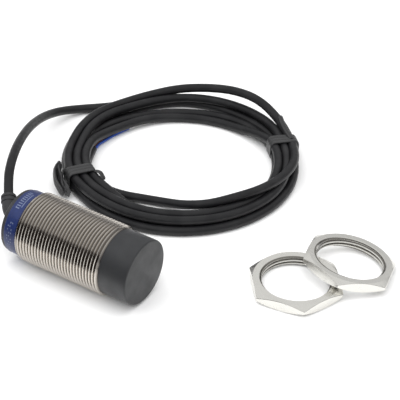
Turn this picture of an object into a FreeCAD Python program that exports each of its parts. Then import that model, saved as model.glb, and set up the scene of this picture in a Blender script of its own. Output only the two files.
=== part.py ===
# Cylindrical inductive proximity sensor, M30 x 1.5, non-flush, with its cable and two locknuts.
#
# Millimetres, +Z up. The origin is the centre of the sensing face. The sensor's axis is the X axis:
# the sensing face looks along +X and the barrel runs back along -X. The sensor, the coiled cable
# and the two locknuts all lie on one floor, which touches the barrel's thread from below.
import FreeCAD, Part
import math
import os

# ---- driving dimensions: housing ----
thread_r = 15.0             # crest of the M30 thread
thread_pitch = 1.5
thread_depth = 0.92
crest_width = 0.22
root_width = 0.36
barrel_chamfer = 1.0
barrel_bore_r = 13.2
cap_length = 13.2           # plastic sensing cap, from the sensing face back
barrel_length = 41.8
ring_length = 5.8           # coloured light ring
rear_cap_length = 1.8
cap_r = 14.0
ring_r = 13.9
rear_cap_r = 13.5
floor_z = -thread_r

# ---- driving dimensions: locknuts ----
nut_across_flats = 36.0
nut_thickness = 4.5
nut_minor_r = 14.188        # crest of the internal M30 x 1.5 thread
nut_mouth_r = 15.15         # chamfer at both mouths
nut_a_centre = (44.8, 44.7)
nut_a_turn = 9.7            # degrees about +Z
nut_b_centre = (58.2, 65.9)
nut_b_turn = 43.9
nut_b_tilt = 10.0           # degrees; the second nut leans over the first one
nut_b_tilt_bearing = 50.4   # the side that is down on the floor
nut_b_height = -9.61        # height of its centre
lying_gap = 0.05            # between the floor and a loose nut

# ---- driving dimensions: cable ----
cable_r = 2.05
conductor_r = 0.63
coil_centre = (-43.2, 91.6)
coil_outer_r = 56.5
coil_height = 12.0
hole_centre = (-46.0, 91.7)
hole_long = 40.0
hole_short = 32.5
hole_turn = 36.0
tie_bearings = {"cable_tie_left": -124.0, "cable_tie_right": 46.0}
tie_width = 3.0
tie_thickness = 0.9
tie_inner_size = (12.8, 9.0)
tie_centre_r = 48.2
cable_exit = (-74.02, 6.37, 3.97)
lead_route = [
    cable_exit,
    (-79.0, 12.4, 7.7),
    (-84.2, 21.2, 9.3),
    (-90.4, 32.4, 8.2),
    (-97.2, 45.8, 5.2),
    (-104.0, 60.4, 0.6),
    (-109.4, 76.0, -4.8),
    (-111.2, 90.4, -9.8),
    (-107.4, 101.2, -12.6),
    (-99.6, 109.4, -12.95),
    (-91.4, 118.4, -12.95),
]
tail_routes = {
    "conductor_blue": [(-81.3, 77.3, -13.4), (-82.9, 82.4, -13.9), (-82.9, 87.4, -14.3),
                       (-82.4, 92.6, -14.3), (-81.4, 97.8, -14.3), (-80.0, 103.0, -14.3),
                       (-78.2, 107.6, -14.3)],
    "conductor_brown": [(-82.05, 77.0, -12.05), (-84.0, 81.4, -13.4), (-84.3, 86.8, -14.3),
                        (-84.0, 92.2, -14.3), (-83.2, 97.4, -14.3), (-82.0, 102.6, -14.3),
                        (-80.4, 107.6, -14.3)],
    "conductor_black": [(-82.8, 76.7, -13.4), (-85.4, 81.0, -14.3), (-86.0, 86.2, -14.3),
                        (-85.8, 91.6, -14.3), (-85.2, 96.8, -14.3), (-84.2, 102.0, -14.3),
                        (-83.0, 107.0, -14.3)],
}
tail_pocket_bearing = -190.0    # the conductors lie on the floor under the coil's inner edge
tail_pocket_radial = (36.0, 47.5)
tail_pocket_width = 44.0
tail_pocket_height = 2.3
bare_tip_length = 5.0

# ---- driving dimensions: inside ----
cap_face_thickness = 1.2
cap_bore_r = 11.8
spigot_r = 13.1
spigot_length = 4.8
core_r = 11.6
core_length = 8.0
core_slot_depth = 5.5
core_post_r = 4.6
core_slot_r = 9.7
board_thickness = 1.2
board_width = 20.0
lead_wire_r = 0.25
o_ring_r = 0.42
clearance = 0.1

# ---- driving dimensions: cable gland ----
boot_r = 2.95
boot_straight = 2.0
boot_bend_r = 8.0
boot_turn = 55.0
boot_tail = 5.0
boot_side = (0.0, 0.85, 0.53)   # the side the cable leaves towards

cap_back = -cap_length
barrel_back = cap_back - barrel_length
ring_back = barrel_back - ring_length
rear_face = ring_back - rear_cap_length

V = FreeCAD.Vector
AXIS = V(1, 0, 0)
UP = V(0, 0, 1)


def rod(radius, x_from, x_to, y=0.0, z=0.0):
    """A solid cylinder along X."""
    low = min(x_from, x_to)
    return Part.makeCylinder(radius, abs(x_to - x_from), V(low, y, z), AXIS)


def sleeve(outer, inner, x_from, x_to):
    return rod(outer, x_from, x_to).cut(rod(inner, x_from, x_to))


def block(x, y, z):
    """A box from three (low, high) pairs."""
    return Part.makeBox(x[1] - x[0], y[1] - y[0], z[1] - z[0], V(x[0], y[0], z[0]))


def joined(shapes):
    """One shape of shapes that touch."""
    whole = shapes[0]
    for shape in shapes[1:]:
        whole = whole.fuse(shape)
    return whole.removeSplitter()


def without(shape, tools):
    for tool in tools:
        shape = shape.cut(tool)
    return shape


def turned(profile):
    """A closed outline of (x, radius) points, turned about the X axis."""
    points = [V(x, 0, r) for x, r in profile]
    face = Part.Face(Part.makePolygon(points + [points[0]]))
    return face.revolve(V(0, 0, 0), AXIS, 360)


def save(name, shape):
    shape.exportStep("parts/" + name + ".step")
    print(name, "solids", len(shape.Solids), "volume", round(shape.Volume, 1), shape.isValid())


# ---- cable route: straight runs joined by tangent arcs ----
def rounded_route(points, share=0.45):
    """A wire along the route. Each arc is as large as its two runs allow."""
    corners = [V(*p) for p in points]
    edges = []
    radii = []
    start = corners[0]
    for before, corner, after in zip(corners, corners[1:], corners[2:]):
        back = (before - corner).normalize()
        ahead = (after - corner).normalize()
        half_turn = (math.pi - back.getAngle(ahead)) / 2
        trim = share * min((before - corner).Length, (after - corner).Length)
        radius = trim / math.tan(half_turn)
        arc_start = corner + back * trim
        arc_end = corner + ahead * trim
        inward = (back + ahead).normalize()
        arc_middle = corner + inward * (radius / math.cos(half_turn) - radius)
        edges.append(Part.LineSegment(start, arc_start).toShape())
        edges.append(Part.Arc(arc_start, arc_middle, arc_end).toShape())
        radii.append(round(radius, 1))
        start = arc_end
    edges.append(Part.LineSegment(start, corners[-1]).toShape())
    return Part.Wire(edges), radii


def route_tube(points, radius):
    path, radii = rounded_route(points)
    heading = (V(*points[1]) - V(*points[0])).normalize()
    section = Part.Wire(Part.makeCircle(radius, V(*points[0]), heading))
    tube = path.makePipeShell([section], True, False)
    expected = math.pi * radius ** 2 * path.Length
    print("route length", round(path.Length, 1), "radii", radii,
          "volume ratio", round(tube.Volume / expected, 4))
    return tube


# ---- housing ----
def thread_grooves(x_from, x_to, crest_r, root_r):
    """Outline points of the ring grooves that stand for the thread, from x_from back to x_to."""
    span = x_from - x_to
    count = int(span // thread_pitch)
    flank = (thread_pitch - crest_width - root_width) / 2
    points = []
    first = x_from - (span - count * thread_pitch) / 2
    for i in range(count):
        x = first - i * thread_pitch - crest_width / 2
        points += [(x, crest_r), (x - flank, root_r), (x - flank - root_width, root_r),
                   (x - 2 * flank - root_width, crest_r)]
    return points


def threaded_barrel():
    root_r = thread_r - thread_depth
    outline = [(cap_back, root_r), (cap_back - barrel_chamfer, thread_r)]
    outline += thread_grooves(cap_back - barrel_chamfer, barrel_back + barrel_chamfer,
                              thread_r, root_r)
    outline += [(barrel_back + barrel_chamfer, thread_r), (barrel_back, root_r)]
    outline += [(barrel_back, barrel_bore_r), (cap_back, barrel_bore_r)]
    return turned(outline)


def o_ring_groove(x_middle):
    return sleeve(spigot_r + 1, spigot_r - 0.8, x_middle - 0.6, x_middle + 0.6)


def sensing_cap():
    shell = rod(cap_r, cap_back, 0)
    front_edge = [e for e in shell.Edges if abs(e.CenterOfMass.x) < 0.01 and e.Length > 60]
    shell = shell.makeFillet(0.7, front_edge)
    spigot = rod(spigot_r, cap_back - spigot_length, cap_back)
    pocket = rod(cap_bore_r, cap_back - spigot_length, -cap_face_thickness)
    return without(joined([shell, spigot]), [pocket, o_ring_groove(front_groove_x)])


front_groove_x = cap_back - 2.4
rear_groove_x = barrel_back + 1.9


def o_ring(x_middle):
    ring_centre_r = barrel_bore_r - 0.04 - o_ring_r
    return Part.makeTorus(ring_centre_r, o_ring_r, V(x_middle, 0, 0), AXIS)


def light_ring():
    """The blue ring lets the light of the output diodes out all round."""
    body = rod(ring_r, ring_back, barrel_back)
    edges = [e for e in body.Edges if e.Length > 60]
    body = body.makeFillet(0.35, edges)
    spigot = rod(spigot_r, barrel_back, barrel_back + 3.6)
    hollow = rod(11.2, ring_back, barrel_back + 3.6)
    return without(joined([body, spigot]), [hollow, o_ring_groove(rear_groove_x)])


def rear_cap():
    disc = rod(rear_cap_r, rear_face, ring_back)
    rear_edge = [e for e in disc.Edges if abs(e.CenterOfMass.x - rear_face) < 0.01 and e.Length > 60]
    disc = disc.makeFillet(0.6, rear_edge)
    plug = rod(11.1, ring_back, ring_back + 3.4)
    hub = rod(6.0, ring_back + 3.4, ring_back + 5.0)
    gland_bore = rod(4.4, rear_face, ring_back + 5.0)
    return joined([disc, plug, hub]).cut(gland_bore)


# ---- sensing head ----
core_front = -cap_face_thickness - 0.2
core_back = core_front - core_length
wire_places = [(-7.0, 0.95), (7.0, 0.95)]       # (y, z) of the two winding leads


def wire_holes(radius, x_from, x_to):
    return [rod(radius, x_from, x_to, y, z) for y, z in wire_places]


def ferrite_core():
    slot = sleeve(core_slot_r, core_post_r, core_front - core_slot_depth, core_front)
    return without(rod(core_r, core_back, core_front), [slot] + wire_holes(0.8, core_back, core_front))


def coil_bobbin():
    front = core_front - 0.2
    back = core_front - core_slot_depth + 0.2
    tube = sleeve(core_post_r + 0.9, core_post_r + 0.2, back, front)
    front_flange = sleeve(core_slot_r - 0.2, core_post_r + 0.2, front - 0.6, front)
    rear_flange = sleeve(core_slot_r - 0.2, core_post_r + 0.2, back, back + 0.6)
    return without(joined([tube, front_flange, rear_flange]), wire_holes(0.6, back - 1, back + 0.7))


def coil_winding():
    front = core_front - 0.9
    back = core_front - core_slot_depth + 0.9
    return sleeve(core_slot_r - 0.6, core_post_r + 1.0, back, front)


def coil_leads():
    x_from = core_front - core_slot_depth + 0.8
    return Part.makeCompound(wire_holes(lead_wire_r, board_front - 2.6, x_from))


# ---- electronics ----
carrier_front = core_back - 0.2
carrier_back = carrier_front - 2.4
board_front = carrier_front - 0.8
board_back = barrel_back + 8.2
board_top = board_thickness / 2
led_board_front = board_back - 0.2
led_board_thickness = 1.0
tongue_half_width = 3.0     # the board's narrow back end, which goes through the diode board


def core_carrier():
    disc = rod(core_r, carrier_back, carrier_front)
    slot_half_width = board_width / 2 + clearance
    slot = block((carrier_back - 1, board_front + clearance), (-slot_half_width, slot_half_width),
                 (-board_top - clearance, board_top + clearance))
    return without(disc, [slot] + wire_holes(0.8, carrier_back, carrier_front))


def circuit_board():
    board = block((board_back, board_front), (-board_width / 2, board_width / 2), (-board_top, board_top))
    tongue = block((led_board_front - led_board_thickness, board_back),
                   (-tongue_half_width, tongue_half_width), (-board_top, board_top))
    return joined([board, tongue])


def gull_wing_leg(x, y_body, y_out, body_z):
    """One bent leg from the package's side down to the board."""
    side = 1 if y_out > y_body else -1
    near, far = sorted((y_body - side * 0.2, y_out - side * 0.5))
    shoulder = block((x - 0.2, x + 0.2), (near, far), (body_z, body_z + 0.15))
    near, far = sorted((y_out - side * 0.65, y_out - side * 0.5))
    shin = block((x - 0.2, x + 0.2), (near, far), (board_top, body_z + 0.15))
    near, far = sorted((y_out - side * 0.65, y_out))
    foot = block((x - 0.2, x + 0.2), (near, far), (board_top, board_top + 0.15))
    return [shoulder, shin, foot]


def oscillator_chip():
    """An eight-leg package with the oscillator and the switching stage."""
    x, y = -20.5, -1.0
    body = block((x - 2.5, x + 2.5), (y - 1.95, y + 1.95), (board_top + 0.2, board_top + 1.6))
    parts = [body]
    for i in range(4):
        leg_x = x - 1.905 + 1.27 * i
        parts += gull_wing_leg(leg_x, y + 1.95, y + 3.0, board_top + 0.8)
        parts += gull_wing_leg(leg_x, y - 1.95, y - 3.0, board_top + 0.8)
    return joined(parts)


def output_transistor():
    x, y = -37.0, 4.6
    body = block((x - 3.0, x + 3.0), (y - 3.2, y + 3.2), (board_top + 0.1, board_top + 2.3))
    tab = block((x + 3.0, x + 4.3), (y - 2.6, y + 2.6), (board_top, board_top + 0.6))
    legs = [block((x - 5.0, x - 3.0), (y + s - 0.4, y + s + 0.4), (board_top, board_top + 0.55))
            for s in (-2.2, 2.2)]
    base = block((x - 3.0, x + 3.0), (y - 2.6, y + 2.6), (board_top, board_top + 0.1))
    return joined([body, base, tab] + legs)


def chips(places, length, width, height, under=False):
    """A group of equal rectangular packages at (x, y) places on one side of the board."""
    z = (-board_top - height, -board_top) if under else (board_top, board_top + height)
    return Part.makeCompound([block((x - length / 2, x + length / 2), (y - width / 2, y + width / 2), z)
                              for x, y in places])


def led_board():
    disc = rod(12.4, led_board_front - led_board_thickness, led_board_front)
    slot_half_width = tongue_half_width + clearance
    slot = block((led_board_front - 2, led_board_front + 1), (-slot_half_width, slot_half_width),
                 (-board_top - clearance, board_top + clearance))
    wire_window = rod(2.4, led_board_front - 2, led_board_front + 1, 0, 4.2)
    return without(disc, [slot, wire_window])


def around(shape, count, start=45.0):
    """Equal copies of a shape round the sensor's axis."""
    copies = []
    for i in range(count):
        copy = shape.copy()
        copy.rotate(V(0, 0, 0), AXIS, start + 360.0 * i / count)
        copies.append(copy)
    return copies


def indicator_leds():
    back = led_board_front - led_board_thickness
    lamp = block((back - 0.9, back), (-0.8, 0.8), (9.2, 10.4))
    return Part.makeCompound(around(lamp, 4))


pad_x = board_back + 3.0
wire_lanes = {"inner_wire_brown": -1.9, "inner_wire_blue": 0.0, "inner_wire_black": 1.9}


def inner_wire(y):
    """From its pad on the board, through the window in the diode board, into the cable's end."""
    close = y * 0.62
    z_pad = board_top + conductor_r + 0.05
    route = [(pad_x, y * 1.6, z_pad), (pad_x - 2.2, y * 1.4, z_pad + 0.9),
             (led_board_front + 0.1, close, 4.2), (led_board_front - 2.4, close, 3.0),
             (jacket_end + 0.5, close * 1.1, 0.6)]
    return route_tube(route, conductor_r * 0.85)


def solder_joints():
    """Domes on the board's pads, outside the wires and leads they hold."""
    places = [(pad_x + 0.9, lane * 1.6, 0.75) for lane in wire_lanes.values()]
    places += [(board_front - 3.2, y, 0.5) for y, z in wire_places]
    domes = []
    for x, y, radius in places:
        ball = Part.makeSphere(radius, V(x, y, board_top))
        above = block((x - 2, x + 2), (y - 2, y + 2), (board_top, board_top + 3))
        domes.append(ball.common(above))
    return Part.makeCompound(domes)


def potting_compound():
    """Resin behind the diode board, which locks the cable and seals the tail of the barrel."""
    front = led_board_front - led_board_thickness - 1.2
    back = ring_back + 5.1
    fill = rod(11.0, back, front)
    wires = block((back - 1, front + 1), (-3.2, 3.2), (-3.2, 5.6))
    return fill.cut(wires).cut(rod(4.2, back - 1, front + 1))


# ---- cable gland ----
jacket_end = led_board_front - 4.0
grommet_front = ring_back + 4.6


def cable_clamp():
    """Crimped ring that stops the cable from being pulled out."""
    return sleeve(3.0, cable_r + 0.05, grommet_front + 0.6, grommet_front + 2.2)


def cable_grommet():
    return sleeve(4.3, cable_r + 0.05, rear_face + 0.3, grommet_front)


def bent_sleeve(outer, inner, straight, tail):
    """A tube that starts at the rear face along -X, bends once and ends in a short straight."""
    side = V(*boot_side).normalize()
    centre = V(rear_face - straight, 0, 0) + side * boot_bend_r
    spin = AXIS.negative().cross(side)
    start = V(rear_face - straight, 0, 0)
    pieces = []
    for radius in (outer, inner):
        if radius == 0:
            continue
        disc = Part.Face(Part.Wire(Part.makeCircle(radius, start, AXIS)))
        bend = disc.revolve(centre, spin, boot_turn)
        turn = FreeCAD.Rotation(spin, boot_turn)
        end = centre + turn.multVec(start - centre)
        heading = turn.multVec(AXIS.negative())
        front = Part.makeCylinder(radius, straight, V(rear_face, 0, 0), AXIS.negative())
        last = Part.makeCylinder(radius, tail, end, heading)
        pieces.append((joined([front, bend, last]), end + heading * tail, heading))
    whole = pieces[0][0] if inner == 0 else pieces[0][0].cut(pieces[1][0])
    return whole, pieces[0][1], pieces[0][2]


def strain_relief():
    """Rubber boot with a flange behind the rear cap and two ribs near its mouth."""
    tube, mouth, heading = bent_sleeve(boot_r, cable_r + 0.05, boot_straight, boot_tail)
    flange = sleeve(4.9, cable_r + 0.05, rear_face - 0.9, rear_face)
    ribs = []
    for back in (1.4, 3.4):
        rib = Part.makeCylinder(boot_r + 0.35, 0.9, mouth - heading * back, heading)
        ribs.append(rib.cut(Part.makeCylinder(boot_r - 0.2, 1.2, mouth - heading * (back + 0.1), heading)))
    print("cable leaves at", [round(c, 2) for c in mouth], "along", [round(c, 3) for c in heading])
    return joined([tube, flange] + ribs)


def cable_entry():
    """The jacket's last stretch, from inside the housing to the boot's mouth."""
    bent, mouth, heading = bent_sleeve(cable_r, 0, boot_straight, boot_tail)
    return joined([rod(cable_r, rear_face, jacket_end), bent])


# ---- coiled cable ----
def standing_block(bearing, radial, across, z):
    """A box that stands on a radius of the coil; radial is its (inner, outer) radius."""
    shape = block(radial, (-across / 2, across / 2), z)
    shape.rotate(V(0, 0, 0), UP, bearing)
    shape.translate(V(coil_centre[0], coil_centre[1], 0))
    return shape


def tie_span(extra):
    """(inner, outer) radius and (low, high) z of the loop's inside, grown by extra."""
    wide, high = tie_inner_size
    low = floor_z + tie_thickness
    return ((tie_centre_r - wide / 2 - extra, tie_centre_r + wide / 2 + extra),
            (low - extra, low + high + extra))


def cable_coil():
    """Outer shape of six turns of cable, drawn in where the two ties hold them."""
    drum = Part.makeCylinder(coil_outer_r, coil_height, V(coil_centre[0], coil_centre[1], floor_z), UP)
    hole = Part.Ellipse(V(0, 0, 0), hole_long, hole_short).toShape()
    hole = Part.Face(Part.Wire(hole)).extrude(V(0, 0, coil_height + 2))
    hole.rotate(V(0, 0, 0), UP, hole_turn)
    hole.translate(V(hole_centre[0], hole_centre[1], floor_z - 1))
    coil = drum.cut(hole)
    for bearing in tie_bearings.values():
        radial, z = tie_span(-0.15)
        around_tie = standing_block(bearing, (30, 60), tie_width + 0.6, (floor_z - 1, floor_z + 20))
        kept = standing_block(bearing, radial, tie_width + 0.6, z)
        coil = coil.cut(around_tie.cut(kept))
    pocket_z = (floor_z - 1, floor_z + tail_pocket_height)
    return coil.cut(standing_block(tail_pocket_bearing, tail_pocket_radial, tail_pocket_width, pocket_z))


def cable_tie(bearing):
    outer_radial, outer_z = tie_span(tie_thickness)
    radial, z = tie_span(0)
    loop = standing_block(bearing, outer_radial, tie_width, outer_z)
    loop = loop.makeFillet(0.6, [e for e in loop.Edges if e.Length < tie_width + 0.1])
    loop = loop.cut(standing_block(bearing, radial, tie_width + 1, z))
    twist = standing_block(bearing, (radial[0] + 2.5, radial[0] + 5.5), tie_width * 0.8,
                           (outer_z[1] - 0.1, outer_z[1] + 3.0))
    return joined([loop, twist])


def conductor(route):
    return route_tube(route[:-1], conductor_r)


def bare_tips():
    """Tinned ends of the three conductors."""
    tips = []
    for route in tail_routes.values():
        start = V(*route[-2])
        heading = (V(*route[-1]) - start).normalize()
        tips.append(Part.makeCylinder(conductor_r * 0.75, bare_tip_length, start + heading * 0.2, heading))
    return Part.makeCompound(tips)


# ---- locknuts ----
def locknut():
    """Hexagon nut on the XY plane, centred on its axis at half its thickness."""
    half = nut_thickness / 2
    corner_r = nut_across_flats / 2 / math.cos(math.pi / 6)
    turns = [math.radians(60 * i) for i in range(7)]
    corners = [V(corner_r * math.cos(turn), corner_r * math.sin(turn), -half) for turn in turns]
    hexagon = Part.Face(Part.makePolygon(corners)).extrude(V(0, 0, nut_thickness))
    chamfer_start = nut_across_flats / 2 - 0.1
    drop = (corner_r + 1 - chamfer_start) * math.tan(math.radians(30))
    cone = [V(0, 0, -half), V(chamfer_start, 0, -half), V(corner_r + 1, 0, -half + drop),
            V(corner_r + 1, 0, half - drop), V(chamfer_start, 0, half), V(0, 0, half)]
    turned_blank = Part.Face(Part.makePolygon(cone + [cone[0]])).revolve(V(0, 0, 0), UP, 360)
    mouth = nut_mouth_r - nut_minor_r
    flank = (thread_pitch - crest_width - root_width) / 2
    wall = [(half + 0.1, 0), (half + 0.1, nut_mouth_r + 0.1), (half - mouth, nut_minor_r)]
    for top in (half - mouth - root_width / 2, half - mouth - root_width / 2 - thread_pitch):
        if top - 2 * flank - crest_width < -half + mouth:
            continue
        wall += [(top, nut_minor_r), (top - flank, thread_r), (top - flank - crest_width, thread_r),
                 (top - 2 * flank - crest_width, nut_minor_r)]
    wall += [(-half + mouth, nut_minor_r), (-half - 0.1, nut_mouth_r + 0.1), (-half - 0.1, 0)]
    outline = [V(r, 0, z) for z, r in wall]
    bore = Part.Face(Part.makePolygon(outline + [outline[0]])).revolve(V(0, 0, 0), UP, 360)
    return hexagon.common(turned_blank).cut(bore)


def locknut_a():
    nut = locknut()
    nut.rotate(V(0, 0, 0), UP, nut_a_turn)
    nut.translate(V(nut_a_centre[0], nut_a_centre[1], floor_z + nut_thickness / 2 + lying_gap))
    return nut


def locknut_b():
    nut = locknut()
    nut.rotate(V(0, 0, 0), UP, nut_b_turn)
    bearing = math.radians(nut_b_tilt_bearing)
    lean_axis = UP.cross(V(math.cos(bearing), math.sin(bearing), 0))
    nut.rotate(V(0, 0, 0), lean_axis, nut_b_tilt)
    nut.translate(V(nut_b_centre[0], nut_b_centre[1], nut_b_height))
    return nut


def build():
    os.makedirs("parts", exist_ok=True)
    save("threaded_barrel", threaded_barrel())
    save("sensing_cap", sensing_cap())
    save("front_o_ring", o_ring(front_groove_x))
    save("rear_o_ring", o_ring(rear_groove_x))
    save("light_ring", light_ring())
    save("rear_cap", rear_cap())
    save("ferrite_core", ferrite_core())
    save("coil_bobbin", coil_bobbin())
    save("coil_winding", coil_winding())
    save("coil_leads", coil_leads())
    save("core_carrier", core_carrier())
    save("circuit_board", circuit_board())
    save("oscillator_chip", oscillator_chip())
    save("output_transistor", output_transistor())
    save("smoothing_capacitors", chips([(-27.5, 6.0), (-27.5, -6.4)], 3.5, 2.8, 1.9))
    ceramic_places = [(-16.0, 5.0), (-16.0, 7.6), (-23.5, 4.6), (-31.5, 0.0)]
    save("ceramic_capacitors", chips(ceramic_places, 2.0, 1.25, 1.0))
    resistor_places = [(-15.6 - 2.6 * i, -7.6) for i in range(4)]
    resistor_places += [(-32.5 - 2.6 * i, -4.6) for i in range(4)]
    save("chip_resistors", chips(resistor_places, 1.6, 0.8, 0.5))
    save("protection_diodes", chips([(-37.0, 5.0), (-37.0, -5.0)], 4.3, 3.6, 2.2, under=True))
    save("voltage_regulator", chips([(-26.0, 0.0)], 4.5, 2.5, 1.5, under=True))
    save("led_board", led_board())
    save("indicator_leds", indicator_leds())
    for name, lane in wire_lanes.items():
        save(name, inner_wire(lane))
    save("solder_joints", solder_joints())
    save("potting_compound", potting_compound())
    save("cable_clamp", cable_clamp())
    save("cable_grommet", cable_grommet())
    save("strain_relief", strain_relief())
    save("cable_entry", cable_entry())
    save("cable_lead", route_tube(lead_route, cable_r))
    save("cable_coil", cable_coil())
    for name, bearing in tie_bearings.items():
        save(name, cable_tie(bearing))
    for name, route in tail_routes.items():
        save(name, conductor(route))
    save("conductor_tips", bare_tips())
    save("locknut_a", locknut_a())
    save("locknut_b", locknut_b())


build()
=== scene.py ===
import bmesh
import bpy
import math
from mathutils import Matrix, Vector


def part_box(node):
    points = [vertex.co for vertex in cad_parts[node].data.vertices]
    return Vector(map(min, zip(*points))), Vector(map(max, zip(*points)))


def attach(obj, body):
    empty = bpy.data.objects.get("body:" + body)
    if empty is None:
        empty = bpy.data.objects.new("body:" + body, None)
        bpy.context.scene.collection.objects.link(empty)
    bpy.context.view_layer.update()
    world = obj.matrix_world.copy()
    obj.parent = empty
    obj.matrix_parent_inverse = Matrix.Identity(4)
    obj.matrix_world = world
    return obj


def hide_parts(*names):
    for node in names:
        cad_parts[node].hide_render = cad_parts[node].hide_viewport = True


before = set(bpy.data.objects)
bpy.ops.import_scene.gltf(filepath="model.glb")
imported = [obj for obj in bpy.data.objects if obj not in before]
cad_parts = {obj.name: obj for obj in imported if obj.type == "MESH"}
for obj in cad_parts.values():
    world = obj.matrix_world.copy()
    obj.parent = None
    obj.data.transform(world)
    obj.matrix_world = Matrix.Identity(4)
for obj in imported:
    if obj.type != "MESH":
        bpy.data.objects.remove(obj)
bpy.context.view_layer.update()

MM = 0.001


def mm(*values):
    """A point given in millimetres, in the row's frame, as metres."""
    return Vector(values) * MM


# ---- sizes and places, read from the frame where it holds them ----
barrel_low, barrel_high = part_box("threaded_barrel")
cap_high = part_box("sensing_cap")[1]
ring_low, ring_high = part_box("light_ring")
rear_low, rear_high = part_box("rear_cap")
floor_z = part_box("cable_lead")[0].z

# ---- the cable ----
cable_r = 2.05 * MM
conductor_r = 0.63 * MM
coil_centre = (-43.2, 91.6)
lead_route = [
    (-74.02, 6.37, 3.97),
    (-79.0, 12.4, 7.7),
    (-84.2, 21.2, 9.3),
    (-90.4, 32.4, 8.2),
    (-97.2, 45.8, 5.2),
    (-104.0, 60.4, 0.6),
    (-109.4, 76.0, -4.8),
    (-111.2, 90.4, -9.8),
    (-107.4, 101.2, -12.6),
    (-99.6, 109.4, -12.95),
    (-91.4, 118.4, -12.95),
]
tail_routes = {
    "blue": [(-81.3, 77.3, -13.4), (-82.9, 82.4, -13.9), (-82.9, 87.4, -14.3), (-82.4, 92.6, -14.3),
             (-81.4, 97.8, -14.3), (-80.0, 103.0, -14.3), (-78.2, 107.6, -14.3)],
    "brown": [(-82.05, 77.0, -12.05), (-84.0, 81.4, -13.4), (-84.3, 86.8, -14.3), (-84.0, 92.2, -14.3),
              (-83.2, 97.4, -14.3), (-82.0, 102.6, -14.3), (-80.4, 107.6, -14.3)],
    "black": [(-82.8, 76.7, -13.4), (-85.4, 81.0, -14.3), (-86.0, 86.2, -14.3), (-85.8, 91.6, -14.3),
              (-85.2, 96.8, -14.3), (-84.2, 102.0, -14.3), (-83.0, 107.0, -14.3)],
}
tie_bearings = {"cable_tie_left": -124.0, "cable_tie_right": 46.0}

# How the six turns lie at some bearings round the coil, clockwise seen from above, as
# (distance from the coil's middle, height) in millimetres, first turn first. Between them the
# turns run smoothly. The ties hold them three wide and two high; elsewhere they fan out.
bed = -12.95                    # a turn that lies on the floor
strap = -12.05                  # a turn that lies on a tie's strap
turn_places = [
    (151.0, [(55.1, bed), (50.0, bed), (43.4, bed), (38.2, -11.7), (47.6, -9.3), (51.7, -8.6)]),
    (122.0, [(57.2, bed), (53.0, bed), (43.0, bed), (38.5, bed), (51.2, -9.4), (54.3, -6.0)]),
    (103.0, [None, None, None, None, (51.4, -8.85), None]),
    (84.0, [(53.9, bed), (49.7, bed), (45.5, bed), (39.9, -12.8), (51.8, -9.4), (53.4, -1.6)]),
    (64.0, [(53.1, -12.5), (49.0, -12.5), (44.9, -12.5), (41.5, -9.9), (50.5, -8.7), (53.3, -5.4)]),
    (46.0, [(52.3, strap), (48.2, strap), (44.1, strap), (44.1, -8.0), (48.2, -8.0), (52.3, -8.0)]),
    (23.0, [(52.4, -12.6), (48.2, -12.6), (44.0, -12.6), (44.9, -8.6), (49.0, -8.6), (52.1, -5.3)]),
    (0.0, [(52.5, bed), (48.2, bed), (44.0, bed), (46.1, -9.4), (50.3, -9.4), (48.6, -5.5)]),
    (-14.0, [None, None, None, None, None, (46.4, -5.2)]),
    (-28.0, [None, None, None, None, None, (43.8, -6.0)]),
    (-38.0, [(53.5, bed), (49.0, bed), (44.4, bed), (46.6, -9.4), (51.1, -9.4), (42.0, -7.9)]),
    (-75.0, [(54.3, bed), (49.4, bed), (44.6, bed), (46.8, -9.4), (51.6, -9.4), (32.8, bed)]),
    (-104.0, [(53.2, -12.5), (48.8, -12.5), (42.8, -9.5), (47.3, -8.7), (51.9, -8.6), (39.2, -12.6)]),
    (-124.0, [(52.3, strap), (48.2, strap), (44.1, -8.0), (48.2, -8.0), (52.3, -8.0), (44.1, strap)]),
    (-159.4, [(52.6, bed), (48.4, bed), (42.3, -8.8), (46.5, -9.4), (50.7, -9.3), (41.5, bed)]),
    (-174.0, [None, None, None, (47.4, -8.85), (51.6, -8.9), None]),
    (-188.0, [(51.6, bed), (46.0, bed), (38.7, -11.6), (48.2, -9.1), (52.4, -8.9), None]),
]
turns = 6
points_per_turn = 24


def polar(radius, bearing, z):
    """A point at a distance and bearing from the coil's middle, in millimetres."""
    angle = math.radians(bearing)
    x, y = coil_centre
    return (x + radius * math.cos(angle), y + radius * math.sin(angle), z)


def coil_knots():
    """(angle turned since the coil's start, distance, height) at each known place, in order."""
    start = turn_places[0][0]
    return [(start - bearing + 360.0 * turn, *places[turn])
            for turn in range(turns) for bearing, places in turn_places if places[turn]]


def smooth_value(knots, angle, column):
    """Cubic through the knots at an angle, flat where neighbours rise and fall."""
    index = max(i for i, knot in enumerate(knots[:-1]) if knot[0] <= angle)
    around = [knots[max(0, min(len(knots) - 1, index + offset))] for offset in (-1, 0, 1, 2)]
    before, low, high, after = around
    span = high[0] - low[0]

    def slope(left, middle, right):
        if left is middle or middle is right:
            return (right[column] - left[column]) / max(right[0] - left[0], 1.0)
        first = (middle[column] - left[column]) / (middle[0] - left[0])
        second = (right[column] - middle[column]) / (right[0] - middle[0])
        return 0.0 if first * second <= 0 else 2 * first * second / (first + second)

    step = (angle - low[0]) / span
    square, cube = step ** 2, step ** 3
    enter = slope(before, low, high) * span
    leave = slope(low, high, after) * span
    return ((2 * cube - 3 * square + 1) * low[column] + (cube - 2 * square + step) * enter
            + (3 * square - 2 * cube) * high[column] + (cube - square) * leave)


def coil_route():
    """The coil's points after the lead's last one, to the jacket's end."""
    knots = coil_knots()
    last = knots[-1][0]
    count = round(last / 360.0 * points_per_turn)
    start = turn_places[0][0]
    route = []
    for i in range(1, count + 1):
        angle = last * i / count
        radius, height = smooth_value(knots, angle, 1), smooth_value(knots, angle, 2)
        route.append(polar(radius, start - angle, height))
    return route


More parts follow.
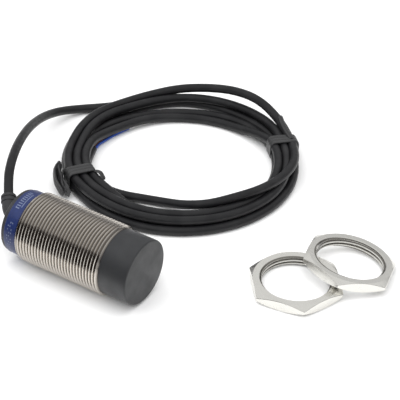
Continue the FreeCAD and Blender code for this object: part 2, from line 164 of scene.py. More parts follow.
def smooth_line(name, places, radius, resolution):
    """A curve with one smooth line, whose control points are the places, in metres."""
    data = bpy.data.curves.new(name, "CURVE")
    data.dimensions = "3D"
    spline = data.splines.new("NURBS")
    spline.points.add(len(places) - 1)
    for point, place in zip(spline.points, places):
        point.co = (*place, 1.0)
        point.radius = radius
    spline.order_u = 3
    spline.use_endpoint_u = True
    spline.resolution_u = resolution
    return data


def cord_curve(name, route, radius):
    """A round cord along a smooth line with the route's points as its control points."""
    data = smooth_line(name, [mm(*place) for place in route], radius, resolution=6)
    data.bevel_depth = 1.0      # times each point's radius
    data.bevel_resolution = 7
    data.use_fill_caps = True
    cord = bpy.data.objects.new(name, data)
    bpy.context.scene.collection.objects.link(cord)
    return cord


cable = cord_curve("cable", lead_route + coil_route(), cable_r)
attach(cable, "root")
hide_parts("cable_lead", "cable_coil")

tails = []
for colour, route in tail_routes.items():
    tail = cord_curve("core_" + colour, route[:-1], conductor_r)
    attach(tail, "root")
    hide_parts("conductor_" + colour)
    tails.append(tail)

# ---- mesh helpers ----
merge_distance = 0.002 * MM


def mesh_piece(name, points, faces, sharp_degrees=35.0):
    """A closed mesh, merged where its points coincide and shaded smooth but for its edges."""
    shape = bmesh.new()
    made = [shape.verts.new(point) for point in points]
    for face in faces:
        if len(set(face)) > 2:
            shape.faces.new([made[i] for i in face])
    bmesh.ops.remove_doubles(shape, verts=shape.verts, dist=merge_distance)
    bmesh.ops.dissolve_degenerate(shape, edges=shape.edges, dist=merge_distance)
    bmesh.ops.recalc_face_normals(shape, faces=shape.faces)
    data = bpy.data.meshes.new(name)
    shape.to_mesh(data)
    shape.free()
    data.polygons.foreach_set("use_smooth", [True] * len(data.polygons))
    data.set_sharp_from_angle(angle=math.radians(sharp_degrees))
    piece = bpy.data.objects.new(name, data)
    bpy.context.scene.collection.objects.link(piece)
    return piece


def arc(centre, radius, start, end, steps=6):
    """Points (x, r) on an arc, angles in degrees."""
    return [(centre[0] + radius * math.cos(math.radians(start + (end - start) * i / steps)),
             centre[1] + radius * math.sin(math.radians(start + (end - start) * i / steps)))
            for i in range(steps + 1)]


def about_x(x, radius, step, steps):
    """A point at a distance from the X axis, some of a turn's equal steps round it."""
    angle = 2 * math.pi * step / steps
    return mm(x, radius * math.cos(angle), radius * math.sin(angle))


def lathe(name, outline):
    """A closed outline of (x, radius) points in millimetres, turned about the X axis."""
    segments = 160
    points = [about_x(x, r, i, segments) for i in range(segments) for x, r in outline]
    rows = len(outline)
    faces = []
    for i in range(segments):
        beside = (i + 1) % segments
        for row in range(rows):
            above = (row + 1) % rows
            faces.append((i * rows + row, beside * rows + row,
                          beside * rows + above, i * rows + above))
    return mesh_piece(name, points, faces)


# ---- thread ----
thread_pitch = 1.5
thread_columns = 144
thread_depth = 0.92
# One pitch of the thread from a crest, as (way along, depth): a rounded crest and a rounded root.
thread_profile = [(-0.16, 0.10), (-0.07, 0.0), (0.07, 0.0), (0.16, 0.10),
                  (0.56, 0.86), (0.68, thread_depth), (0.82, thread_depth), (0.94, 0.86)]


def helical_rows(start, end, crest_r, limit):
    """Points (x, radius) by column of a thread between two ends. limit(x, radius) trims it there."""
    turns_here = int((start - end) / thread_pitch) + 3
    columns = []
    for column in range(thread_columns):
        lead = thread_pitch * column / thread_columns
        rows = []
        for turn_number in range(-1, turns_here):
            for along, depth in thread_profile:
                x = min(start, max(end, start - turn_number * thread_pitch - along - lead))
                rows.append((x, limit(x, crest_r(depth))))
        columns.append(rows)
    return columns


def helical_faces(columns):
    """Faces between a thread's columns. At the seam each row meets the one a turn further on."""
    rows = len(columns[0])
    faces = []
    for column in range(thread_columns):
        beside = (column + 1) % thread_columns
        shift = len(thread_profile) if beside == 0 else 0
        for row in range(rows - 1 - shift):
            a, b = column * rows + row, beside * rows + row + shift
            faces.append((a, b, b + 1, a + 1))
    return faces


def ring_faces(first, second, columns):
    """Faces between two rings of points that start at two indices."""
    return [(first + i, first + (i + 1) % columns, second + (i + 1) % columns, second + i)
            for i in range(columns)]


barrel_front = barrel_high.x / MM
barrel_back = barrel_low.x / MM
barrel_r = barrel_high.z / MM
barrel_bore_r = 13.2
barrel_chamfer = 1.0


def threaded_barrel():
    """Tube with a true M30 x 1.5 helix, chamfered at both ends."""
    def chamfered(x, radius):
        into = min(barrel_front - x, x - barrel_back)
        return min(radius, barrel_r - barrel_chamfer + into)

    columns = helical_rows(barrel_front, barrel_back, lambda depth: barrel_r - depth, chamfered)
    points = [about_x(x, r, i, thread_columns) for i, rows in enumerate(columns) for x, r in rows]
    faces = helical_faces(columns)
    rings = []
    for x, r in ((barrel_front, barrel_r - barrel_chamfer), (barrel_front, barrel_bore_r),
                 (barrel_back, barrel_bore_r), (barrel_back, barrel_r - barrel_chamfer)):
        rings.append(len(points))
        points += [about_x(x, r, i, thread_columns) for i in range(thread_columns)]
    for first, second in zip(rings, rings[1:]):
        faces += ring_faces(first, second, thread_columns)
    return mesh_piece("barrel", points, faces)


# ---- locknuts ----
nut_flats = 36.0
nut_thickness = 4.5
nut_minor_r = 14.19
nut_major_r = 15.05
nut_mouth_r = 15.15
nut_chamfer_degrees = 30.0
nut_corner_cut = 0.12           # how much each of the six corners is rounded off
nut_edge = 0.1                  # bevel between a chamfer and a side
# Each nut's centre, its turn about its axis, and how far it leans and towards which bearing.
nut_places = {
    "locknut_a": ((44.8, 44.7, -12.7), 9.7, 0.0, 0.0),
    "locknut_b": ((58.2, 65.9, -9.61), 43.9, 10.0, 50.4),
}


def hexagon_radius(angle):
    """Distance from the nut's axis to its side at an angle, with the corners taken off a little."""
    apothem = nut_flats / 2
    within = (angle + math.pi / 6) % (math.pi / 3) - math.pi / 6
    corner = apothem / math.cos(math.pi / 6) - nut_corner_cut
    return min(corner, apothem / math.cos(math.pi / 6 - abs(within)))


def locknut(name):
    """Hexagon nut with both faces chamfered and a true internal helix."""
    half = nut_thickness / 2
    flat_r = nut_flats / 2 - nut_edge
    slope = math.tan(math.radians(nut_chamfer_degrees))

    def mouthed(z, radius):
        return max(radius, nut_mouth_r - min(half - z, z + half))

    def inner_r(depth):
        return nut_minor_r + (nut_major_r - nut_minor_r) * depth / thread_depth

    columns = helical_rows(half, -half, inner_r, mouthed)
    points = []
    for i, rows in enumerate(columns):
        angle = 2 * math.pi * i / thread_columns
        points += [mm(r * math.cos(angle), r * math.sin(angle), z) for z, r in rows]
    faces = helical_faces(columns)
    rings = []
    for side in (1, -1):
        levels = [lambda h: (nut_mouth_r, half), lambda h: (flat_r, half),
                  lambda h: (h - nut_edge, half - (h - nut_edge - flat_r) * slope),
                  lambda h: (h, half - (h - flat_r) * slope - nut_edge)]
        if side < 0:
            levels.reverse()
        for level in levels:
            rings.append(len(points))
            for i in range(thread_columns):
                angle = 2 * math.pi * i / thread_columns
                r, z = level(hexagon_radius(angle))
                points.append(mm(r * math.cos(angle), r * math.sin(angle), side * z))
    for first, second in zip(rings, rings[1:]):
        faces += ring_faces(first, second, thread_columns)
    nut = mesh_piece(name + "_threaded", points, faces, sharp_degrees=20.0)
    centre, spin, tilt, bearing = nut_places[name]
    down = Vector((math.cos(math.radians(bearing)), math.sin(math.radians(bearing)), 0))
    leant = Matrix.Rotation(math.radians(tilt), 4, Vector((0, 0, 1)).cross(down))
    spun = Matrix.Rotation(math.radians(spin), 4, "Z")
    nut.data.transform(Matrix.Translation(mm(*centre)) @ leant @ spun)
    return nut


# ---- plastic parts of the housing ----
cap_r = cap_high.z / MM
cap_front = cap_high.x / MM
ring_r = ring_high.z / MM
ring_back = ring_low.x / MM
rear_r = rear_high.z / MM
rear_face = rear_low.x / MM
spigot_r = 13.1                 # of the cap and of the light ring, inside the barrel


def plastic_cap():
    """Sensing cap with a rounded front edge, its spigot inside the barrel and its hollow."""
    edge, back_edge, face_thickness = 0.7, 0.15, 1.2
    spigot_back, hollow_r = barrel_front - 4.8, 11.8
    outline = [(cap_front, 0.0)]
    outline += arc((cap_front - edge, cap_r - edge), edge, 0, 90)
    outline += arc((barrel_front + back_edge, cap_r - back_edge), back_edge, 90, 180, 3)
    outline += [(barrel_front, spigot_r), (spigot_back, spigot_r), (spigot_back, hollow_r),
                (cap_front - face_thickness, hollow_r), (cap_front - face_thickness, 0.0)]
    return lathe("cap", outline)


def colour_ring():
    """Light ring with rounded edges and its spigot inside the barrel."""
    edge, spigot_front, hollow_r = 0.35, barrel_back + 3.6, 11.2
    outline = [(spigot_front, hollow_r), (spigot_front, spigot_r), (barrel_back, spigot_r)]
    outline += arc((barrel_back - edge, ring_r - edge), edge, 0, 90, 4)
    outline += arc((ring_back + edge, ring_r - edge), edge, 90, 180, 4)
    outline += [(ring_back, hollow_r)]
    return lathe("ring", outline)


def back_cap():
    """Disc behind the ring, with its plug inside the ring and the gland's bore."""
    edge, bore_r = 0.6, 4.4
    plug_r, plug_front = 11.1, ring_back + 3.4
    hub_r, hub_front = 6.0, ring_back + 5.0
    outline = [(hub_front, bore_r), (hub_front, hub_r), (plug_front, hub_r), (plug_front, plug_r),
               (ring_back, plug_r), (ring_back, rear_r)]
    outline += arc((rear_face + edge, rear_r - edge), edge, 90, 180)
    outline += [(rear_face, bore_r)]
    return lathe("rear_disc", outline)


barrel = threaded_barrel()
cap = plastic_cap()
ring = colour_ring()
rear = back_cap()
housing = ((barrel, "threaded_barrel", "nickel_thread"), (cap, "sensing_cap", "cap_plastic"),
           (ring, "light_ring", "blue_ring"), (rear, "rear_cap", "rear_plastic"))
for piece, node, slot in housing:
    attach(piece, "root")
    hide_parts(node)
nuts = {}
for node, body in (("locknut_a", "nut_a"), ("locknut_b", "nut_b")):
    nuts[node] = locknut(node)
    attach(nuts[node], body)
    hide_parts(node)

# ---- twist ties ----
tie_width = 6.3
tie_wraps = 3
tie_gap = 2.5                   # from a turn's middle to the strap's middle
tie_inside = 0.4                # from the strap's middle to its inner side
tie_outside = 0.12              # from its middle to the dips between the wraps
tie_crown = 0.33                # how far each wrap rises above the dip
steps_per_wrap = 8
steps_per_corner = 8
tie_sharp_degrees = 50.0
# Where the four outermost turns lie at a tie, as (distance from the coil's middle, height).
tie_corners = ((52.3, -8.0), (44.1, -8.0), (44.1, -12.05), (52.3, -12.05))


def swept(stations):
    """Points and faces of a tube through rings of equally many points, in metres."""
    points = [point for ring_points in stations for point in ring_points]
    around = len(stations[0])
    faces = []
    for row in range(len(stations) - 1):
        faces += ring_faces(row * around, (row + 1) * around, around)
    return points, faces


def standing(bearing, radial, along, z):
    """A point at the coil: distance from the coil's middle, way along the cable, and height."""
    angle = math.radians(bearing)
    outward = Vector((math.cos(angle), math.sin(angle), 0))
    onward = Vector((-math.sin(angle), math.cos(angle), 0))
    return mm(*coil_centre, 0) + outward * radial * MM + onward * along * MM + mm(0, 0, z)


def tie_strap(name, bearing):
    """Three wraps of ribbed plastic side by side, drawn round the six turns."""
    steps = steps_per_wrap * tie_wraps
    section = []
    for i in range(steps + 1):
        crown = abs(math.sin(math.pi * tie_wraps * i / steps)) ** 0.5
        section.append((i, tie_gap + tie_outside + tie_crown * crown))
    section += [(steps, tie_gap - tie_inside), (0, tie_gap - tie_inside)]
    stations = []
    for corner, (radial, z) in enumerate(tie_corners):
        for step in range(steps_per_corner + 1):
            angle = math.radians(90 * corner + 90 * step / steps_per_corner)
            stations.append([standing(bearing, radial + math.cos(angle) * out,
                                      tie_width * (i / steps - 0.5), z + math.sin(angle) * out)
                             for i, out in section])
    stations.append(stations[0])
    points, faces = swept(stations)
    return mesh_piece(name, points, faces, sharp_degrees=tie_sharp_degrees)


# The ties' free ends: the way of the band's middle beside the coil as (distance from the coil's
# middle, way along the cable, height), whether it stands on edge, half its width and thickness.
tie_tails = {
    "cable_tie_left": [
        ([(54.6, -9.4, -7.4), (56.4, -7.0, -8.4), (57.2, -2.2, -9.4), (57.4, 3.0, -10.2),
          (56.6, 8.6, -11.0)], True, 3.2, 1.3),
        ([(55.4, -7.6, -6.6), (58.2, -5.6, -7.0), (59.6, -1.8, -8.6), (59.9, 2.2, -10.4),
          (58.9, 7.0, -12.0)], True, 2.4, 0.9),
        ([(55.6, -1.8, -5.8), (57.4, 1.2, -6.6), (58.4, 4.4, -8.8), (57.6, 8.2, -12.2)],
         True, 1.4, 0.5),
        ([(42.4, 2.6, -6.4), (41.2, 4.6, -5.4), (40.6, 6.8, -5.8), (40.3, 8.8, -7.6)],
         False, 1.0, 0.5)],
    "cable_tie_right": [
        ([(52.0, -1.0, -5.2), (51.0, 2.6, -4.4), (50.4, 7.4, -3.4), (50.4, 11.6, -2.9),
          (50.8, 15.4, -2.9)], False, 1.1, 0.6)],
}


def ribbed_end(name, bearing, way, on_edge, half_width, half_thickness):
    """A free end of a tie: a flat band with ridges along it."""
    places = [standing(bearing, radial, along, z) for radial, along, z in way]
    line = smooth_line(name + "_line", places, radius=1.0, resolution=12)
    holder = bpy.data.objects.new(name + "_line", line)
    path = [vertex.co.copy() for vertex in bpy.data.meshes.new_from_object(holder).vertices]
    bpy.data.objects.remove(holder)
    around, ridges, ridge_depth, end_scale = 48, 4, 0.4, 0.75
    stations = []
    for i, place in enumerate(path):
        ahead = (path[min(i + 1, len(path) - 1)] - path[max(i - 1, 0)]).normalized()
        side = ahead.cross(Vector((0, 0, 1))).normalized()
        above = side.cross(ahead)
        if on_edge:
            side, above = above, side
        narrowed = 1.0 if 1 < i < len(path) - 2 else end_scale
        ring_points = []
        for j in range(around):
            turned_by = 2 * math.pi * j / around
            across = half_width * math.cos(turned_by)
            ridge = abs(math.cos(ridges * math.pi * across / (2 * half_width)))
            height = half_thickness * math.sin(turned_by) * (1 - ridge_depth + ridge_depth * ridge)
            ring_points.append(place + (side * across + above * height) * narrowed * MM)
        stations.append(ring_points)
    points, faces = swept(stations)
    faces.append(tuple(range(around)))
    faces.append(tuple(len(points) - around + j for j in range(around)))
    return mesh_piece(name, points, faces, sharp_degrees=tie_sharp_degrees)


tie_pieces = []
for node, bearing in tie_bearings.items():
    wraps = tie_strap(node + "_strap", bearing)
    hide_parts(node)
    tie_pieces.append(wraps)
    for i, end in enumerate(tie_tails[node]):
        tie_pieces.append(ribbed_end(f"{node}_end_{i + 1}", bearing, *end))
for piece in tie_pieces:
    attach(piece, "root")

# ---- marks on the light ring ----
mark_height = 0.05
mark_step = 4                   # degrees that one flat facet of a mark may span
# Plain bars and dots: millimetres forward of the ring's back (from, to), and degrees up from the
# -Y side (from, to).
mark_bars = [((1.6, 3.4), (58 + 5 * i, 60 + 5 * i)) for i in range(9)]
mark_bars += [((1.6, 2.0), (58 + 5 * i, 61.5 + 5 * i)) for i in (0, 3, 4, 7)]
mark_bars += [((3.9, 4.3), (62, 96))]
mark_dots = [((3.4 - 0.9 * row, 3.8 - 0.9 * row), (6 * i - 12, 6 * i - 9.5))
             for row in range(3) for i in range(8) if (i + row) % 3]


def ring_marks():
    """Thin raised patches that follow the ring's surface."""
    points, faces = [], []
    inner_r, outer_r = ring_r - mark_height, ring_r + mark_height
    for (near, far), (start, end) in mark_bars + mark_dots:
        x_from, x_to = ring_back + near, ring_back + far
        steps = max(1, math.ceil((end - start) / mark_step))
        first = len(points)
        for i in range(steps + 1):
            angle = math.radians(start + (end - start) * i / steps)
            for x, radius in ((x_from, inner_r), (x_to, inner_r),
                              (x_to, outer_r), (x_from, outer_r)):
                points.append(mm(x, -radius * math.cos(angle), radius * math.sin(angle)))
        for i in range(steps):
            faces += ring_faces(first + 4 * i, first + 4 * (i + 1), 4)
        faces.append(tuple(range(first, first + 4)))
        faces.append(tuple(range(first + 4 * steps, first + 4 * steps + 4)))
    return mesh_piece("ring_marks", points, faces)


marks = ring_marks()
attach(marks, "root")


# ---- materials ----
class Paint:
    """A procedural material under construction: its nodes, in the order that they are made."""

    def __init__(self, name, colour, roughness, metallic=0.0):
        self.material = bpy.data.materials.new(name)
        self.material.use_nodes = True
        self.tree = self.material.node_tree
        self.shader = self.tree.nodes["Principled BSDF"]
        self.shader.inputs["Base Color"].default_value = (*colour, 1.0)
        self.shader.inputs["Roughness"].default_value = roughness
        self.shader.inputs["Metallic"].default_value = metallic
        self.place = self.node("ShaderNodeTexCoord").outputs["Object"]
        self.last_bump = None

    def node(self, kind, **values):
        made = self.tree.nodes.new(kind)
        for name, value in values.items():
            setattr(made, name, value)
        return made

    def link(self, source, target):
        self.tree.links.new(source, target)

    def stretched(self, scale, centre=(0, 0, 0)):
        """The place on the object, stretched along each axis about a centre."""
        mapping = self.node("ShaderNodeMapping", vector_type="POINT")
        mapping.inputs["Scale"].default_value = scale
        mapping.inputs["Location"].default_value = [-c * s for c, s in zip(centre, scale)]
        self.link(self.place, mapping.inputs["Vector"])
        return mapping.outputs["Vector"]

    def noise(self, size, detail=3.0, place=None):
        """Grain of a given size in metres, as a value."""
        made = self.node("ShaderNodeTexNoise")
        made.inputs["Scale"].default_value = 1.0 / size
        made.inputs["Detail"].default_value = detail
        self.link(place or self.place, made.inputs["Vector"])
        return made.outputs["Fac"]

    def between(self, factor, low, high, start=0.3, end=0.7):
        """A number that goes from low to high as the factor goes from start to end."""
        made = self.node("ShaderNodeMapRange")
        made.inputs["From Min"].default_value = start
        made.inputs["From Max"].default_value = end
        made.inputs["To Min"].default_value = low
        made.inputs["To Max"].default_value = high
        self.link(factor, made.inputs["Value"])
        return made.outputs["Result"]

    def mixed(self, factor, first, second):
        """A colour between two, each a colour or a node's output."""
        made = self.node("ShaderNodeMix", data_type="RGBA")
        self.link(factor, made.inputs["Factor"])
        # The node has a socket of the same name for each type; these are the colours.
        for socket, value in ((made.inputs[6], first), (made.inputs[7], second)):
            if isinstance(value, tuple):
                socket.default_value = (*value, 1.0)
            else:
                self.link(value, socket)
        return made.outputs[2]

    def coloured(self, output):
        self.link(output, self.shader.inputs["Base Color"])

    def roughened(self, output):
        self.link(output, self.shader.inputs["Roughness"])

    def bumped(self, height, depth):
        """A bump of a depth in metres, on top of any earlier one."""
        made = self.node("ShaderNodeBump")
        made.inputs["Distance"].default_value = depth
        self.link(height, made.inputs["Height"])
        if self.last_bump:
            self.link(self.last_bump, made.inputs["Normal"])
        self.last_bump = made.outputs["Normal"]
        self.link(self.last_bump, self.shader.inputs["Normal"])


def moulded(name, colour, roughness, grain=0.25 * MM, depth=0.02 * MM, shade=0.75):
    """Moulded plastic or rubber: faint grain, and patches that are a little duller and darker."""
    paint = Paint(name, colour, roughness)
    patches = paint.noise(6 * MM, 4.0)
    darker = tuple(c * shade for c in colour)
    paint.coloured(paint.mixed(paint.between(patches, 0.0, 1.0), colour, darker))
    paint.roughened(paint.between(patches, roughness - 0.05, roughness + 0.08))
    paint.bumped(paint.noise(grain), depth)
    return paint


def plated(name, colour, roughness, wear=(0.62, 0.56, 0.47)):
    """Nickel plate: bright metal with duller spots and fine handling marks."""
    paint = Paint(name, colour, roughness, 1.0)
    spots = paint.noise(3 * MM, 6.0)
    paint.coloured(paint.mixed(paint.between(spots, 0.0, 0.5, 0.45, 0.8), colour, wear))
    paint.roughened(paint.between(paint.noise(4 * MM, 3.0), roughness - 0.03, roughness + 0.05))
    paint.bumped(paint.noise(2 * MM, 3.0), 0.002 * MM)
    return paint


thread_silver = (0.62, 0.58, 0.53)


def thread_nickel():
    """Plated thread, with painted shade darkening the roots where the radius is small."""
    paint = plated("nickel_on_thread", thread_silver, 0.2, (0.52, 0.47, 0.41))
    axis_place = paint.node("ShaderNodeSeparateXYZ")
    paint.link(paint.place, axis_place.inputs["Vector"])
    across = paint.node("ShaderNodeCombineXYZ")
    paint.link(axis_place.outputs["Y"], across.inputs["Y"])
    paint.link(axis_place.outputs["Z"], across.inputs["Z"])
    distance = paint.node("ShaderNodeVectorMath", operation="LENGTH")
    paint.link(across.outputs["Vector"], distance.inputs[0])
    # Painted shade: the colour darkens from the flanks into the thread's roots.
    dark_r, bright_r = 14.05 * MM, 14.8 * MM
    root = paint.between(distance.outputs["Value"], 1.0, 0.0, dark_r, bright_r)
    paint.coloured(paint.mixed(root, thread_silver, (0.16, 0.145, 0.13)))
    return paint


nut_silver = (0.76, 0.75, 0.71)


def turned_nickel(name, centre):
    """Plated nut with the lathe's faint rings on its faces, about its own axis, and painted shade
    darkening the roots of its inner thread.
    """
    paint = plated(name, nut_silver, 0.24, (0.68, 0.66, 0.61))
    offset = paint.stretched((1.0, 1.0, 0.0), centre)
    distance = paint.node("ShaderNodeVectorMath", operation="LENGTH")
    paint.link(offset, distance.inputs[0])
    rings = paint.node("ShaderNodeTexNoise")
    rings.noise_dimensions = "1D"
    rings.inputs["Scale"].default_value = 1.0
    rings.inputs["Detail"].default_value = 3.0
    rings_place = paint.node("ShaderNodeMath", operation="MULTIPLY")
    ring_spacing = 0.22 * MM
    rings_place.inputs[1].default_value = 1.0 / ring_spacing
    paint.link(distance.outputs["Value"], rings_place.inputs[0])
    paint.link(rings_place.outputs["Value"], rings.inputs["W"])
    paint.bumped(rings.outputs["Fac"], 0.002 * MM)
    from_axis = distance.outputs["Value"]
    # Painted shade: the inner thread's roots darkened, its crests and the faces left bright.
    root_shade_mask = paint.between(from_axis, 0.0, 1.0, 14.3 * MM, 14.6 * MM)
    on_face = paint.between(from_axis, 0.0, 1.0, 15.0 * MM, nut_mouth_r * MM)
    shaded = paint.mixed(root_shade_mask, nut_silver, (0.22, 0.21, 0.19))
    paint.coloured(paint.mixed(on_face, shaded, nut_silver))
    return paint


def cable_jacket():
    """Satin PVC with faint drawing marks and a little dust."""
    paint = Paint("jacket_pvc", (0.010, 0.010, 0.011), 0.42)
    paint.shader.inputs["Specular IOR Level"].default_value = 0.3
    dust = paint.noise(9 * MM, 6.0)
    paint.coloured(paint.mixed(paint.between(dust, 0.0, 1.0, 0.4, 0.75), (0.008, 0.008, 0.009),
                               (0.016, 0.016, 0.017)))
    paint.roughened(paint.between(paint.noise(2 * MM, 5.0), 0.34, 0.5))
    paint.bumped(paint.noise(0.5 * MM, 4.0), 0.015 * MM)
    return paint


def circuit_green():
    """Solder mask with the copper tracks showing through as a lighter green."""
    paint = Paint("solder_mask", (0.01, 0.12, 0.05), 0.3)
    tracks = paint.node("ShaderNodeTexBrick")
    tracks.inputs["Scale"].default_value = 1.0 / (4 * MM)
    tracks.inputs["Mortar Size"].default_value = 0.06
    tracks.inputs["Color1"].default_value = (0.01, 0.12, 0.05, 1)
    tracks.inputs["Color2"].default_value = (0.012, 0.14, 0.06, 1)
    tracks.inputs["Mortar"].default_value = (0.03, 0.24, 0.10, 1)
    paint.link(paint.place, tracks.inputs["Vector"])
    paint.coloured(tracks.outputs["Color"])
    paint.bumped(tracks.outputs["Fac"], 0.03 * MM)
    return paint


def wound_copper():
    """Enamelled wire in layers: fine ridges round the sensor's axis, with painted shade darkening the
    grooves between them.
    """
    paint = Paint("enamelled_copper", (0.62, 0.24, 0.09), 0.3, 1.0)
    wires = paint.node("ShaderNodeTexWave", wave_type="BANDS", bands_direction="X")
    wires.inputs["Scale"].default_value = 1.0 / (1.4 * MM)
    wires.inputs["Distortion"].default_value = 0.6
    paint.link(paint.place, wires.inputs["Vector"])
    # Painted shade: the colour follows the bump, darker where the ridges dip.
    paint.coloured(paint.mixed(wires.outputs["Fac"], (0.35, 0.12, 0.04), (0.72, 0.30, 0.12)))
    paint.bumped(wires.outputs["Fac"], 0.05 * MM)
    return paint


def blue_plastic():
    """Slightly translucent blue plastic, smooth, with faint flow marks."""
    paint = moulded("ring_blue", (0.010, 0.022, 0.10), 0.34, 0.4 * MM, 0.008 * MM, 0.8)
    paint.shader.inputs["Subsurface Weight"].default_value = 0.12
    paint.shader.inputs["Subsurface Radius"].default_value = (0.002, 0.003, 0.006)
    return paint


def finish(piece, paint):
    """Gives a piece or a carried-over CAD node one material."""
    piece.data.materials.clear()
    piece.data.materials.append(paint.material)


finish(barrel, thread_nickel())
finish(cap, moulded("cap_grey", (0.022, 0.023, 0.025), 0.46, 0.35 * MM, 0.02 * MM, 0.85))
finish(ring, blue_plastic())
finish(marks, moulded("white_print", (0.13, 0.16, 0.26), 0.5, 0.2 * MM, 0.005 * MM))
finish(rear, moulded("rear_black", (0.03, 0.03, 0.033), 0.5))
for node, place in nut_places.items():
    finish(nuts[node], turned_nickel(node + "_nickel", mm(*place[0])))
jacket = cable_jacket()
finish(cable, jacket)
wire_colours = {
    "blue": (0.02, 0.08, 0.42),
    "brown": (0.20, 0.08, 0.03),
    "black": (0.02, 0.02, 0.02),
}
wire_paints = {}
for colour, tint in wire_colours.items():
    wire_paints[colour] = moulded("wire_" + colour, tint, 0.35, 0.3 * MM, 0.01 * MM)
for tail, colour in zip(tails, tail_routes):
    finish(tail, wire_paints[colour])

black_rubber = moulded("black_rubber", (0.03, 0.03, 0.032), 0.6, 0.2 * MM, 0.02 * MM)
tie_plastic = moulded("tie_plastic", (0.03, 0.03, 0.031), 0.3, 0.3 * MM, 0.01 * MM)
solder = plated("solder_tin", (0.72, 0.71, 0.70), 0.3, (0.5, 0.5, 0.5))
chip_black = moulded("chip_black", (0.02, 0.02, 0.021), 0.55, 0.1 * MM, 0.02 * MM)
board_green = circuit_green()
node_paints = {
    "front_o_ring": black_rubber,
    "rear_o_ring": black_rubber,
    "cable_grommet": black_rubber,
    "strain_relief": black_rubber,
    "ferrite_core": moulded("ferrite", (0.045, 0.04, 0.04), 0.5, 0.15 * MM, 0.04 * MM),
    "coil_bobbin": moulded("bobbin", (0.62, 0.56, 0.42), 0.45),
    "coil_winding": wound_copper(),
    "coil_leads": plated("bare_copper", (0.80, 0.40, 0.22), 0.25, (0.5, 0.24, 0.12)),
    "core_carrier": moulded("carrier", (0.06, 0.06, 0.065), 0.5),
    "circuit_board": board_green,
    "led_board": board_green,
    "oscillator_chip": chip_black,
    "output_transistor": chip_black,
    "voltage_regulator": chip_black,
    "protection_diodes": chip_black,
    "smoothing_capacitors": moulded("tantalum", (0.70, 0.42, 0.06), 0.4, 0.15 * MM, 0.02 * MM),
    "ceramic_capacitors": moulded("ceramic", (0.42, 0.32, 0.22), 0.5, 0.1 * MM, 0.02 * MM),
    "chip_resistors": chip_black,
    "indicator_leds": moulded("led_amber", (0.85, 0.45, 0.08), 0.2, 0.2 * MM, 0.005 * MM),
    "inner_wire_brown": wire_paints["brown"],
    "inner_wire_blue": wire_paints["blue"],
    "inner_wire_black": wire_paints["black"],
    "solder_joints": solder,
    "conductor_tips": solder,
    "potting_compound": moulded("resin", (0.12, 0.10, 0.05), 0.25, 1.5 * MM, 0.03 * MM),
    "cable_clamp": plated("steel", (0.62, 0.62, 0.63), 0.3, (0.45, 0.44, 0.42)),
    "cable_entry": jacket,
}
for piece in tie_pieces:
    finish(piece, tie_plastic)
for node, paint in node_paints.items():
    finish(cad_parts[node], paint)

# ---- camera, floor and light ----
# The camera's place and axes come from a fit to the object's outlines in the photo.
camera_place = mm(281.31, -418.16, 387.13)
camera_right = Vector((0.8384, 0.5439, 0.0352))
camera_up = Vector((-0.3354, 0.4639, 0.8200))
camera_back = Vector((0.4296, -0.6993, 0.5713))
camera_data = bpy.data.cameras.new("camera")
camera_data.lens = 143.0
camera_data.sensor_width = 36.0
camera_data.clip_end = 50.0
camera = bpy.data.objects.new("camera", camera_data)
bpy.context.scene.collection.objects.link(camera)
facing = Matrix((camera_right, camera_up, camera_back)).transposed().to_4x4()
camera.matrix_world = Matrix.Translation(camera_place) @ facing
bpy.context.scene.camera = camera
bpy.context.scene.view_settings.view_transform = "Standard"


def plain_sheet(name, corners, paint_name, constants):
    """A four-cornered sheet for the stage, with one plain material."""
    data = bpy.data.meshes.new(name)
    data.from_pydata(corners, [], [(0, 1, 2, 3)])
    sheet = bpy.data.objects.new(name, data)
    bpy.context.scene.collection.objects.link(sheet)
    paint = bpy.data.materials.new(paint_name)
    paint.use_nodes = True
    for socket, value in constants.items():
        paint.node_tree.nodes["Principled BSDF"].inputs[socket].default_value = value
    data.materials.append(paint)
    return sheet


reach = 3.0
floor_gap = 0.1 * MM            # keeps the floor just clear of the cable's underside
floor = plain_sheet("floor", [(-reach, -reach, 0), (reach, -reach, 0), (reach, reach, 0),
                              (-reach, reach, 0)],
                    "floor_white", {"Base Color": (0.9, 0.9, 0.9, 1), "Roughness": 0.9})
floor.location = (0, 0, floor_z - floor_gap)


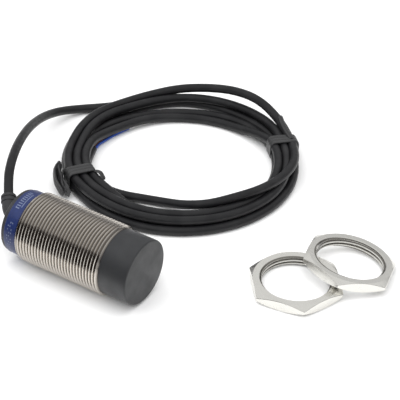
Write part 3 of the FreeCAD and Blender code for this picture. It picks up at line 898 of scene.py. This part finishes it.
def soft_light(name, place, target, size, power):
    """A rectangular light turned to a target. It lights the object but isn't seen in its gloss."""
    data = bpy.data.lights.new(name, "AREA")
    data.shape = "RECTANGLE"
    data.size = size[0]
    data.size_y = size[1]
    data.energy = power
    lamp = bpy.data.objects.new(name, data)
    bpy.context.scene.collection.objects.link(lamp)
    lamp.location = place
    lamp.visible_glossy = False
    lamp.rotation_euler = (Vector(target) - Vector(place)).to_track_quat("-Z", "Y").to_euler()


soft_light("overhead", (0.1, -0.45, 1.6), (0, 0.05, 0), (2.4, 2.4), 34)
soft_light("window", (-1.0, -0.6, 0.8), (0, 0.03, 0), (1.2, 1.2), 5)

# The studio round it: pale above, darker towards the horizon, so that polished metal has contrast.
world = bpy.data.worlds.new("studio")
bpy.context.scene.world = world
world.use_nodes = True
sky = world.node_tree
sky_place = sky.nodes.new("ShaderNodeTexCoord")
sky_split = sky.nodes.new("ShaderNodeSeparateXYZ")
sky_ramp = sky.nodes.new("ShaderNodeValToRGB")
sky.links.new(sky_place.outputs["Generated"], sky_split.inputs["Vector"])
sky.links.new(sky_split.outputs["Z"], sky_ramp.inputs["Fac"])
sky.links.new(sky_ramp.outputs["Color"], sky.nodes["Background"].inputs["Color"])
sky_ramp.color_ramp.elements[0].position = 0.08
sky_ramp.color_ramp.elements[0].color = (0.16, 0.16, 0.17, 1)
sky_ramp.color_ramp.elements[1].position = 0.55
sky_ramp.color_ramp.elements[1].color = (0.84, 0.84, 0.84, 1)
sky.nodes["Background"].inputs["Strength"].default_value = 1.0

# A dark card in front of the sensor, seen only in its gloss, as a photographer would stand there.
card_y, card_x, card_top = -52 * MM, (-130 * MM, 45 * MM), 42 * MM
card = plain_sheet("dark_card", [(card_x[0], card_y, floor_z), (card_x[1], card_y, floor_z),
                                 (card_x[1], card_y, card_top), (card_x[0], card_y, card_top)],
                   "card_black", {"Base Color": (0.09, 0.085, 0.08, 1), "Specular IOR Level": 0.0})
for ray in ("camera", "diffuse", "shadow", "transmission", "volume_scatter"):
    setattr(card, "visible_" + ray, False)
